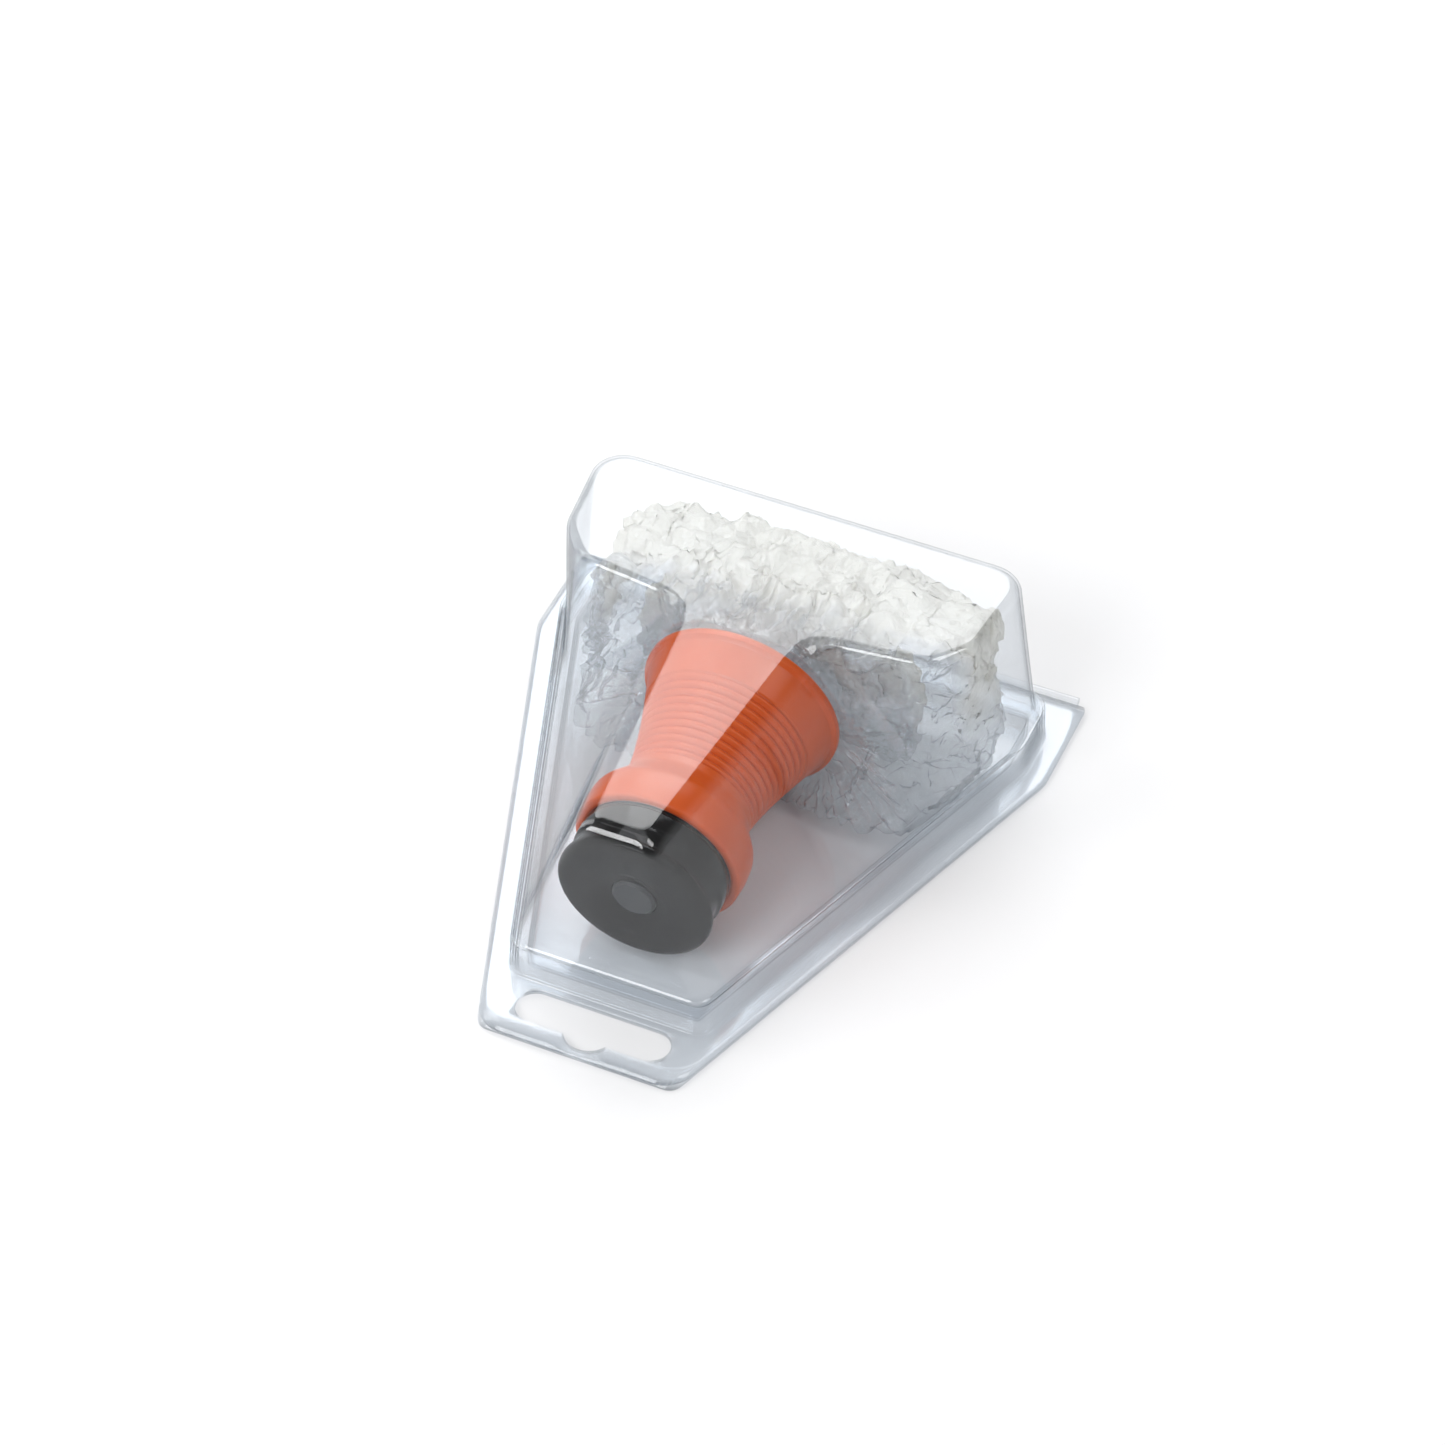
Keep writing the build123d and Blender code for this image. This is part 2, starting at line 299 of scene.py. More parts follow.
# Polyethylene film, blown and thin: milky white where it is bunched and clear with a broken shine
# where it is single, by the milk attribute, with a fine crinkle in both.
def filmMaterial(name):
    s = filmLook
    material, tree, surface = newMaterial(name)
    place = addNode(tree, "ShaderNodeTexCoord").outputs["Object"]
    crinkle = addNode(tree, "ShaderNodeTexNoise",
                      {"Scale": 1000 / s["crinkle"], "Detail": 4.0, "Distortion": 1.6}, Vector=place)
    normal = addNode(tree, "ShaderNodeBump",
                     {"Strength": s["crinkleStrength"], "Distance": s["crinkleDepth"]},
                     Height=crinkle.outputs["Fac"]).outputs["Normal"]
    milk = addNode(tree, "ShaderNodeAttribute", {"attribute_name": "milk"}).outputs["Fac"]
    tone = addNode(tree, "ShaderNodeMix",
                   {"data_type": "RGBA", 6: linear(s["thin"]), 7: linear(s["milky"])},
                   i0=milk).outputs[2]
    body = addNode(tree, "ShaderNodeBsdfPrincipled", {"Roughness": s["roughness"], "IOR": 1.52},
                   Base_Color=tone, Normal=normal)
    glow = addNode(tree, "ShaderNodeBsdfTranslucent", None, Color=tone)
    bunched = addNode(tree, "ShaderNodeMixShader", {"Fac": s["glowShare"]},
                      i1=body.outputs[0], i2=glow.outputs[0])
    clear = addNode(tree, "ShaderNodeBsdfTransparent", {"Color": linear(s["clear"])})
    gloss = addNode(tree, "ShaderNodeBsdfGlossy", {"Roughness": s["glossRoughness"]}, Normal=normal)
    single = addNode(tree, "ShaderNodeMixShader", None, i1=clear.outputs[0], i2=gloss.outputs[0],
                     Fac=facingPower(tree, s["gloss"], s["glossPower"], s["glossEdge"]))
    amount = addNode(tree, "ShaderNodeMapRange", {"To Min": s["leastMilk"], "To Max": s["mostMilk"]},
                     Value=milk)
    mix = addNode(tree, "ShaderNodeMixShader", None, i1=single.outputs[0], i2=bunched.outputs[0],
                  Fac=amount.outputs["Result"])
    tree.links.new(mix.outputs[0], surface)
    return material


clearSheet = clearSheetMaterial("vacuumFormedPetSheet")
orangePlastic = orangeMaterial("mouldedOrangePolypropylene")
# Polished moulding in a mirror-smooth tool: near black with a sharp, weak gloss.
blackPlastic = mouldedMaterial("mouldedBlackPolypropylene", "#040405", 0.1, gloss=1.27)
# Natural polypropylene: off-white with a satin gloss.
whitePlastic = mouldedMaterial("mouldedWhitePolypropylene", "#e6e5df", 0.35)
# Compression-moulded rubber: dark grey and dull, with a fine grain.
plugRubber = mouldedMaterial("mouldedGreyRubberPlug", "#26292c", 0.45, grain=2.5)
# Closed-cell foam: white and matt, with cells drawn as coarse as they need to be to show.
foamLiner = mouldedMaterial("polyethyleneFoamLiner", "#e9e8e2", 0.7, grain=1.0)
# Natural rubber: brick red and matt.
redRubber = mouldedMaterial("mouldedRedRubber", "#8a2a1c", 0.6, grain=2.0)
print("materials ready")

pack = {
    "length": 127.0, "narrowHalf": 20.5, "wideHalf": 55.75, "taperLength": 102.5,  # flange, mm
    "sheet": 0.5, "hingeGap": 1.86,              # the flanges end this far from the far edge
    "frontCorner": 7.0, "backCorner": 3.0, "bendRound": 8, "farRound": 0.8,  # flange corners
    "leastRound": 0.3,
    "plinthInset": 4.75, "plinthFront": 14.1, "plinthFar": 119.0, "plinthTop": 8.5,
    "plinthCorners": (4, 8, 6), "footReach": 0.9,
    "domeInset": 6.05, "domeFront": 15.4, "domeTop": 44.2,
    "ridgeFront": 18.6, "ridgeHalf": 7.8, "ridgeSpread": 0.094, "ridgeCorner": 4.0,
    "shoulderBase": [(0, 76.0), (40.4, 80.6), (49.2, 103.0), (49.7, 117.6)],
    "shoulderTop": [(0, 79.0), (37.0, 83.4), (43.6, 91.5), (46.2, 115.3)],
    "shoulderCorners": (4, 8, 9, 6.5),
    "blend": 4.0,                                # hollow between the ridge and the shoulders
    "ridgeRound": 4.0, "wideRound": 2.4,         # radii of the dome's top edges
    "edgeBand": 6.0,                             # height of the rows that draw those edges
    "dipFlare": 0.6, "dipHeight": 0.9,           # fillet where the dome rises from the ledge
    "plugGap": 0.35, "plugWidth": 3.0, "plugHeight": 5.0, "plugDraft": 0.1, "plugEnd": 1.5,
    "slotWidth": 32.0, "slotHeight": 8.0, "slotY": 8.4, "bumpRadius": 5.0, "bumpDepth": 2.6,
    "around": 560,                               # columns of the shells' grids
}
centre = np.array([0.0, 94.0])  # every outline of the shells is seen whole from this point


# Half width of the tapered outline at y, with its side moved in by inset.
def taperHalf(y, inset=0.0):
    slope = (pack["wideHalf"] - pack["narrowHalf"]) / pack["taperLength"]
    return pack["narrowHalf"] + slope * y - inset * math.hypot(1, slope)


# Tapered outline with a parallel wide end, counter-clockwise, corners rounded.
def houseOutline(front, far, inset, radii):
    slope = (pack["wideHalf"] - pack["narrowHalf"]) / pack["taperLength"]
    half = pack["wideHalf"] - inset
    bend = (half - taperHalf(0, inset)) / slope
    right = [(taperHalf(front, inset), front), (half, bend), (half, far)]
    corner = [max(r, pack["leastRound"]) for r in radii]
    return roundedOutline(right + [(-x, y) for x, y in right[::-1]], corner + corner[::-1])


# Convex outline from its right-hand corners, front to back.
def mirrored(right):
    return np.array(list(right) + [(-x, y) for x, y in right[::-1] if x > 0])


# Outline of the wedge over the neck at level (0 base, 1 top), moved in by inset.
def ridgeOutline(level, inset):
    front, far = pack["domeFront"], pack["taperLength"]
    base = np.array([(taperHalf(front, pack["domeInset"]), front),
                     (taperHalf(far, pack["domeInset"]), far)])
    spread = pack["ridgeSpread"] * (far - pack["ridgeFront"])
    top = np.array([(pack["ridgeHalf"], pack["ridgeFront"]), (pack["ridgeHalf"] + spread, far)])
    corners = insetPolygon(mirrored(base * (1 - level) + top * level), inset)
    frontRound = max(pack["ridgeCorner"] - level - inset * 0.4, 0.8)
    return roundedOutline(corners, [frontRound, 3, 3, frontRound])


# Outline of the deep wide end at level (0 base, 1 top), moved in by inset.
def wideOutline(level, inset):
    base, top = np.array(pack["shoulderBase"]), np.array(pack["shoulderTop"])
    corners = insetPolygon(mirrored(base * (1 - level) + top * level), inset)
    radii = np.array(pack["shoulderCorners"]) - inset * 0.5
    return roundedOutline(corners, list(radii) + list(radii[1:][::-1]))


# The dome's section is the larger of the ridge's and the wide end's, blended where they meet.
def domeRadius(level, ridgeInset, wideInset, directions, blend):
    ridge = radial(ridgeOutline(level, ridgeInset), centre, directions)
    wide = radial(wideOutline(level, wideInset), centre, directions)
    return smoothMax(ridge, wide, blend)


# Directions from the centre that space the columns evenly along the foot and the top together.
def loopAngles():
    fine = np.linspace(0, 2 * np.pi, 6001)
    foot = radial(houseOutline(pack["plinthFront"], pack["plinthFar"], pack["plinthInset"],
                               pack["plinthCorners"]), centre, fine)
    top = domeRadius(1.0, 2.0, 2.0, fine, pack["blend"])
    travel = np.zeros(len(fine))
    for r in (foot, top):
        p = np.stack([r * np.cos(fine), r * np.sin(fine)], -1)
        step = np.r_[0, np.linalg.norm(np.diff(p, axis=0), axis=1)]
        travel += np.cumsum(step) / step.sum()
    return np.interp(np.linspace(0, 2, pack["around"], endpoint=False), travel, fine)


angles = loopAngles()
direction = np.stack([np.cos(angles), np.sin(angles)], -1)


# One loop of a shell: centre + radius in each direction, at height z.
def loopAt(radius, z):
    return np.concatenate([centre + radius[:, None] * direction, np.full((len(angles), 1), z)], 1)


# Loops up the plinth's wall, its outline moved in as an (inset, z) profile says.
def footLoops(corners, reaches):
    loops = []
    for inset, z in softPath(corners, reaches):
        extra = inset - pack["plinthInset"]
        radii = [r - extra for r in pack["plinthCorners"]]
        outline = houseOutline(pack["plinthFront"] + extra, pack["plinthFar"] - extra, inset, radii)
        loops.append(loopAt(radial(outline, centre, angles), z))
    return loops


# Flat flange: loops in even steps from its outer edge towards the plinth's foot.
def flangeLoops(corner, z, count=4):
    reach = pack["footReach"]
    outer = radial(houseOutline(0, pack["length"] - pack["hingeGap"], 0,
                                (corner, pack["bendRound"], pack["farRound"])), centre, angles)
    foot = radial(houseOutline(pack["plinthFront"] - reach, pack["plinthFar"] + reach,
                               pack["plinthInset"] - reach,
                               [r + reach for r in pack["plinthCorners"]]), centre, angles)
    return [loopAt(outer + (foot - outer) * s, z) for s in np.linspace(0, 1, count)[:-1]]


# Closed sheet: the surface through the loops, the same moved by thickness against its normals,
# a strip that joins their rims and a fan that closes each middle.
def thickSheet(name, loops, thickness):
    points = np.array(loops)
    rows, columns = points.shape[:2]
    normals = gridNormals(points)
    normals[0] = (0, 0, 1)
    inner = points - normals * thickness
    tip = points[-1].mean(0)
    allPoints = np.vstack([points.reshape(-1, 3), inner.reshape(-1, 3), [tip, tip - (0, 0, thickness)]])
    offset, last = rows * columns, (rows - 1) * columns
    j = np.arange(columns)
    k = (j + 1) % columns
    rim = np.stack([k, j, offset + j, offset + k], 1)
    fanOuter = np.stack([last + j, last + k, np.full(columns, 2 * offset)], 1)
    fanInner = np.stack([offset + last + k, offset + last + j, np.full(columns, 2 * offset + 1)], 1)
    quads = np.vstack([gridFaces(rows, columns), gridFaces(rows, columns, offset)[:, ::-1], rim])
    faces = quads.tolist() + fanOuter.tolist() + fanInner.tolist()
    return meshObject(name, toFrame(allPoints), faces)


# Cuts the long hang hole, with its round bump towards the narrow edge, through a flange.
def cutSlot(piece):
    halfSpan, halfHeight = pack["slotWidth"] / 2, pack["slotHeight"] / 2
    steps, below, above = 24, -3.0, 6.0
    t = np.linspace(-np.pi / 2, np.pi / 2, steps)
    right = np.stack([halfSpan - halfHeight + halfHeight * np.cos(t), halfHeight * np.sin(t)], 1)
    rise = pack["bumpRadius"] - pack["bumpDepth"]
    start = math.asin(rise / pack["bumpRadius"])
    b = np.linspace(np.pi + start, 2 * np.pi - start, steps)
    bump = pack["bumpRadius"] * np.stack([np.cos(b), np.sin(b)], 1) + (0, rise - halfHeight)
    outline = np.vstack([bump, right, right[::-1] * (-1, 1)])
    outline[:, 1] += pack["slotY"]
    n = len(outline)
    verts = toFrame(np.vstack([np.c_[outline, np.full(n, below)], np.c_[outline, np.full(n, above)]]))
    j = np.arange(n)
    k = (j + 1) % n
    ends = [list(range(n))[::-1], list(range(n, 2 * n))]
    cutter = meshObject("slotCutter", verts, ends + np.stack([j, k, n + k, n + j], 1).tolist(), False)
    boolean = piece.modifiers.new("slot", "BOOLEAN")
    boolean.object, boolean.operation, boolean.solver = cutter, "DIFFERENCE", "EXACT"
    graph = bpy.context.evaluated_depsgraph_get()
    graph.update()
    shaped = bpy.data.meshes.new_from_object(piece.evaluated_get(graph))
    piece.modifiers.clear()
    piece.data = shaped
    bpy.data.objects.remove(cutter)


# How far a rounded top edge of the given radius has moved in at drop below the top:
# radius - sqrt(radius^2 - (radius - drop)^2).
def edgeInset(radius, drop):
    return radius - math.sqrt(max(radius ** 2 - max(radius - drop, 0) ** 2, 0))


# Front shell: flange, plinth wall, ledge, dome wall, rounded edge and flat top, loop by loop.
def frontShell():
    s = pack["sheet"]
    loops = flangeLoops(pack["frontCorner"], 2 * s)
    i, ledge, top = pack["plinthInset"], pack["plinthTop"], pack["domeTop"]
    loops += footLoops([(i - pack["footReach"], 2 * s), (i - 0.15, 2 * s), (i + 0.12, ledge),
                        (i + 0.8, ledge)], [0.7, 0.7])
    height = top - ledge
    rises = [0.5 * np.linspace(0, 1, 4)[1:], np.linspace(1.2, height - pack["edgeBand"], 22)]
    for z in np.concatenate(rises):
        flare = pack["dipFlare"] * max(0, 1 - z / pack["dipHeight"]) ** 2
        loops.append(loopAt(domeRadius(z / height, -flare, -flare, angles, pack["blend"]), ledge + z))
    for t in np.linspace(0, np.pi / 2, 20)[1:]:
        drop = pack["edgeBand"] * (1 - np.sin(t))
        r = domeRadius(1 - drop / height, edgeInset(pack["ridgeRound"], drop),
                       edgeInset(pack["wideRound"], drop), angles, pack["blend"] * (1 + t))
        loops.append(loopAt(r, top - drop))
    for share in 1 - np.linspace(0, 1, 12)[1:-1]:
        loops.append(loopAt(r * share, top))
    piece = thickSheet("front_shell_formed", loops, s)
    cutSlot(piece)
    return piece


# Back shell: flat sheet with the raised plug rim, hollow underneath.
def backShell():
    s, draft, rise = pack["sheet"], pack["plugDraft"], pack["plugHeight"]
    outer = pack["plinthInset"] + s + pack["plugGap"]
    inner = outer + pack["plugWidth"]
    loops = flangeLoops(pack["backCorner"], s)
    loops += footLoops([(pack["plinthInset"] - pack["footReach"], s), (outer, s), (outer + draft, rise),
                        (inner - draft, rise), (inner, s), (inner + pack["plugEnd"], s)],
                       [0.5, 0.7, 0.7, 0.6])
    last = np.linalg.norm(loops[-1][:, :2] - centre, axis=1)
    for share in 1 - np.linspace(0, 1, 10)[1:-1]:
        loops.append(loopAt(last * share, s))
    piece = thickSheet("back_shell_formed", loops, s)
    cutSlot(piece)
    return piece


front = frontShell()
front.data.materials.append(clearSheet)
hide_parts("front_shell")
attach(front, "lid")
back = backShell()
back.data.materials.append(clearSheet)
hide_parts("back_shell")
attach(back, "back")
print("shells ready")

trapAxis = {"start": (0.0, 26.8, 17.6), "tilt": 5.0, "around": 160}  # starts at the cap's outer face


# Place of a point at radius, station and angle: start + station along the tilted axis
# + radius cos(angle) across + radius sin(angle) upwards.
def onAxis(radius, station, angle):
    tilt = math.radians(trapAxis["tilt"])
    along = np.array([0, math.cos(tilt), math.sin(tilt)])
    up = np.array([0, -math.sin(tilt), math.cos(tilt)])
    side = np.array([1.0, 0, 0])
    return (np.array(trapAxis["start"]) + station[..., None] * along
            + (radius * np.cos(angle))[..., None] * side + (radius * np.sin(angle))[..., None] * up)


# Closed surface of revolution about the trap's axis from a loop of (radius, station) points.
def turnedPiece(name, profile):
    p, columns = np.asarray(profile, float), trapAxis["around"]
    a = np.linspace(0, 2 * np.pi, columns, endpoint=False)
    points = onAxis(np.repeat(p[:, :1], columns, 1), np.repeat(p[:, 1:], columns, 1),
                    np.tile(a, (len(p), 1)))
    j = np.arange(columns)
    k = (j + 1) % columns
    last = (len(p) - 1) * columns
    faces = np.vstack([gridFaces(len(p), columns), np.stack([last + j, last + k, k, j], 1)])
    return meshObject(name, toFrame(points), faces.tolist())


neckSizes = {
    "waist": 27.0, "waistRadius": 13.3, "flare": 53.0, "flareRadius": 20.3, "flareCurve": 1.35,
    "wall": 1.3, "ribs": 11, "ribPitch": 1.65, "ribFirst": 26.4, "ribDepth": 0.8, "ribCrest": 0.6,
    "collar": [(16.0, 11.4), (17.2, 11.5), (17.45, 15.4), (17.1, 18.8), (15.2, 21.6), (13.5, 24.4),
               (13.35, 26.0)],                   # radius and station
    "collarReach": [0.6, 1.2, 1.0, 1.4, 1.6],
    "socket": [(12.0, 25.4), (13.1, 22.6), (15.2, 19.6), (15.2, 12.2), (15.4, 11.5)],
    "rimReach": [0.2, 0.45, 0.4, 0.3],
}


# Outer radius: waist + (flare - waist) * share ** flareCurve, share running from waist to flare.
def neckRadius(station):
    n = neckSizes
    share = np.clip((station - n["waist"]) / (n["flare"] - n["waist"]), 0, None)
    return n["waistRadius"] + (n["flareRadius"] - n["waistRadius"]) * share ** n["flareCurve"]


# Neck: collar, cone to the waist, ribs, trumpet flare with a beaded rim, bore and cap socket.
# A rib's height is |sin| ** ribCrest of the place in its pitch: round crests, sharp valleys.
def neck():
    n = neckSizes
    collar = softPath(n["collar"], n["collarReach"], 7)
    s = np.linspace(26.2, 51.0, 260)
    phase = (s - n["ribFirst"]) / n["ribPitch"]
    ribbed = (phase > 0) & (phase < n["ribs"])
    crest = np.where(ribbed, np.abs(np.sin(np.pi * phase)) ** n["ribCrest"], 1.0)
    outside = np.stack([neckRadius(s) - n["ribDepth"] * (1 - crest), s], 1)
    f, fr = n["flare"], n["flareRadius"]
    rim = softPath([(neckRadius(51.0), 51.0), (fr + 0.25, 51.5), (fr + 0.3, f), (fr - 0.6, f + 0.05),
                    (fr - n["wall"], f - 0.2), (neckRadius(50.0) - n["wall"], 50.0)], n["rimReach"], 5)
    inside = np.linspace(49.5, 27.0, 24)
    bore = np.stack([neckRadius(inside) - n["wall"], inside], 1)
    profile = np.vstack([collar, outside[1:], rim[1:], bore, n["socket"]])
    return turnedPiece("funnel_neck_moulded", profile[::-1])


capSizes = {
    "hub": 4.6, "edge": 16.0, "skirt": 15.0, "bead": 15.6, "plug": 15.1, "bore": 13.6,
    "reach": [0.3, 0.4, 0.5, 1.0, 0.9, 0.5, 0.4, 0.3, 0.5, 0.4, 0.3, 0.3, 0.4, 0.3, 0.3, 0.5, 0.3, 0.2],
}


# Cap: recessed hub, face with a raised ring, rounded flange, stepped skirt, plug and bore.
def cap():
    hub, edge, skirt = (capSizes[key] for key in ("hub", "edge", "skirt"))
    bead, plug, bore = (capSizes[key] for key in ("bead", "plug", "bore"))
    profile = [(hub, 3.4), (hub, 0.9), (hub + 1.6, 0.95), (hub + 2.4, 0.3), (edge - 1.2, 0.0),
               (edge, 0.6), (edge, 2.3), (edge - 0.8, 2.9), (skirt, 3.2), (skirt, 6.3),
               (bead, 6.8), (bead, 10.7), (plug, 11.1), (plug, 17.4), (14.5, 18.4), (bore, 18.4),
               (bore, 3.4), (6.0, 3.4), (6.0, 9.0), (hub, 9.0)]  # radius and station
    return turnedPiece("push_cap_moulded", softPath(profile, capSizes["reach"], 6)[::-1])


neckPiece = neck()
neckPiece.data.materials.append(orangePlastic)
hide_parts("funnel_neck")
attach(neckPiece, "trap")
capPiece = cap()
capPiece.data.materials.append(blackPlastic)
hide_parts("push_cap")
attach(capPiece, "cap")

nodeFinish = {
    "hinge_bead": clearSheet, "entry_cone": orangePlastic, "bag_ring": orangePlastic,
    "cap_liner": foamLiner, "lure_plug": plugRubber, "lure_basket": whitePlastic,
    "lure_capsule": redRubber,
}
for name, material in nodeFinish.items():
    node = frame["nodes"][name]
    for part in [node, *node.children_recursive]:
        if part.type == "MESH":
            part.data.materials.clear()
            part.data.materials.append(material)
print("mouldings ready")

bagSettings = {
    "around": 424, "along": 230,        # grid of the film
    "flat": (0.11, 0.13),               # lay-flat width and length of the bag, metres
    "left": 36.5, "right": 45.5, "low": 2.4, "high": 41.6, "far": 114.2,  # reach of the bulk, mm
    "middleZ": 22.0, "corners": [5, 5, 7, 7],
    "rings": [(17.7, 50.0), (18.65, 52.7), (19.9, 54.1), (22.3, 53.4)],   # radius, station
    "spread": [(0.35, 80.8, 4.5), (0.8, 82.4, 10.0)],  # share of the room, y, drop of the low side
    "bulk": [(87.5, 0.99), (94, 1.0), (101, 0.99), (107.5, 0.93), (112.0, 0.8), (114.2, 0.55),
             (113.8, 0.28), (112.0, 0.06), (107.0, 0.07), (101.0, 0.4), (94.0, 0.68), (89.5, 0.7),
             (88.5, 0.5), (93.0, 0.35), (100.0, 0.25), (105.0, 0.12), (106.5, 0.01)],  # y, share
    "pleats": 76, "pleatDepth": 1.0, "seed": 11,
    "coarse": 1.8, "fine": 0.95, "single": 0.45,       # depth of creases in bunched and single film
    "neckGap": 1.1, "wallGap": 1.6, "shoulderGap": 1.5, "flangeInset": 9.6,
    "floor": 1.6, "ceiling": 42.9, "rimY": 82.3,       # the film passes the flare's rim behind rimY
}


# Half width of the ridge's outside at y and level (0 base, 1 top).
def ridgeHalf(y, level):
    base = taperHalf(np.minimum(y, pack["taperLength"]), pack["domeInset"])
    return (1 - level) * base + level * (pack["ridgeHalf"] + pack["ridgeSpread"] * (y - pack["ridgeFront"]))


# Half width of the front shell's outside at y and level.
def roomHalf(y, level):
    (baseX, baseY), (topX, topY) = np.array(pack["shoulderBase"]).T, np.array(pack["shoulderTop"]).T
    wide = (1 - level) * np.interp(y, baseY, baseX) + level * np.interp(y, topY, topX)
    return smoothMax(ridgeHalf(y, level), wide, 1.0)


# Y of the shoulders' front wall at a distance across and a level.
def shoulderFront(across, level):
    walls = []
    for corners in (pack["shoulderBase"], pack["shoulderTop"]):
        (_, startY), (endX, endY) = corners[:2]
        walls.append(startY + (endY - startY) * across / endX)
    return (1 - level) * walls[0] + level * walls[1]


# Creased field: a sum of triangle waves asin(sin(k.p)) in random directions, each bent by a
# longer sine, with the long waves the highest.
def folds(points, waves, shortest, longest, random):
    total = np.zeros(points.shape[:-1])
    for _ in range(waves):
        length = np.exp(random.uniform(np.log(shortest), np.log(longest)))
        aim, bend = random.normal(size=(2, 3))
        aim, bend = aim / np.linalg.norm(aim), bend / np.linalg.norm(bend)
        turn, bendTurn = random.uniform(0, 2 * np.pi, 2)
        phase = points @ aim * 2 * np.pi / length + turn
        phase += 1.3 * np.sin(points @ bend * 2 * np.pi / (2.6 * length) + bendTurn)
        total += np.arcsin(np.sin(phase)) * 2 / np.pi * (length / longest) ** 0.8
    return total / math.sqrt(waves)


# Section of the wide room at y, shrunk towards its middle by share.
def roomLoop(y, share, a):
    s = bagSettings
    box = np.array([(-s["left"], s["low"]), (s["right"], s["low"]), (s["right"] - 1, s["high"]),
                    (-s["left"] + 1, s["high"])])
    wall = radial(roundedOutline(box, s["corners"]), np.array([0.0, s["middleZ"]]), a)
    return np.stack([wall * share * np.cos(a), np.full(len(a), float(y)),
                     s["middleZ"] + wall * share * np.sin(a)], 1)


# Sections of the film from the ring in the flare's mouth, over the rim and out to the room's
# walls, to the far wall and back inside to the closed end.
def bagSections(a):
    s = bagSettings
    lowSide = np.clip(-np.sin(a) + 0.35, 0, 1) ** 0.7 * np.abs(np.cos(a)) ** 0.8
    rings = [onAxis(np.full(len(a), r), np.full(len(a), station), a) for r, station in s["rings"]]
    wall = roomLoop(0, 1.0, a)
    spread = []
    for share, y, drop in s["spread"]:
        loop = rings[-1] + (wall - rings[-1]) * share
        loop[:, 1] = y - drop * lowSide
        spread.append(loop)
    return np.array(rings + spread + [roomLoop(y, share, a) for y, share in s["bulk"]])


# Points at t from 0 to 1 along the sections, on a Catmull-Rom curve through them.
def alongSections(sections, t):
    n = len(sections) - 1
    place = np.clip(t * n, 0, n - 1e-9)
    i = place.astype(int)
    f = (place - i)[:, None, None]
    p0, p1, p2, p3 = (sections[np.clip(i + k, 0, n)] for k in (-1, 0, 1, 2))
    return 0.5 * (2 * p1 + (p2 - p0) * f + (2 * p0 - 5 * p1 + 4 * p2 - p3) * f ** 2
                  + (3 * p1 - p0 - 3 * p2 + p3) * f ** 3)


# Station along the trap's axis, and the offset from the axis, of places in the pack.
def axisCoordinates(points):
    tilt = math.radians(trapAxis["tilt"])
    along = np.array([0, math.cos(tilt), math.sin(tilt)])
    rel = points - np.array(trapAxis["start"])
    station = rel @ along
    return station, rel - station[..., None] * along


# Pleats round the flare: triangle waves of the angle, their spacing wandering, along the normals
# of the smooth film.
def pleated(points, key, a):
    s = bagSettings
    wander = 1.2 * np.sin(3 * a + 1) + 0.8 * np.sin(5 * a + 2.2) + 0.6 * np.sin(8 * a + 0.4)
    pleat = np.arcsin(np.sin(s["pleats"] * a + 2.5 * wander))[None] * 2 / np.pi
    second = np.arcsin(np.sin(s["pleats"] * 0.5 * a + 4 * wander + key[:, None] * 0.8)) * 2 / np.pi
    fanned = smoothStep((key - 2.2) / 2.5) * (1 - smoothStep((key - 6.2) / 2.0))
    depth = s["pleatDepth"] * fanned[:, None] * (pleat + 0.6 * second)
    return points + gridNormals(points) * depth[..., None], pleat


# Creases: each axis moves by a coarse and a fine creased field where the film is bunched, and by
# a little of the fine one where it is single.
def creased(points, key):
    s = bagSettings
    random = np.random.default_rng(s["seed"])
    bulk = smoothStep((key - 4.2) / 2.2)[:, None]
    for axis in range(3):
        coarse = folds(points, 9, 6.0, 14.0, random)
        fine = folds(points, 16, 1.9, 4.2, random)
        bunched = bulk * (s["coarse"] * coarse + s["fine"] * fine)
        points[..., axis] += bunched + s["single"] * (1 - bulk) * fine * (key > 3.5)[:, None]
    return points


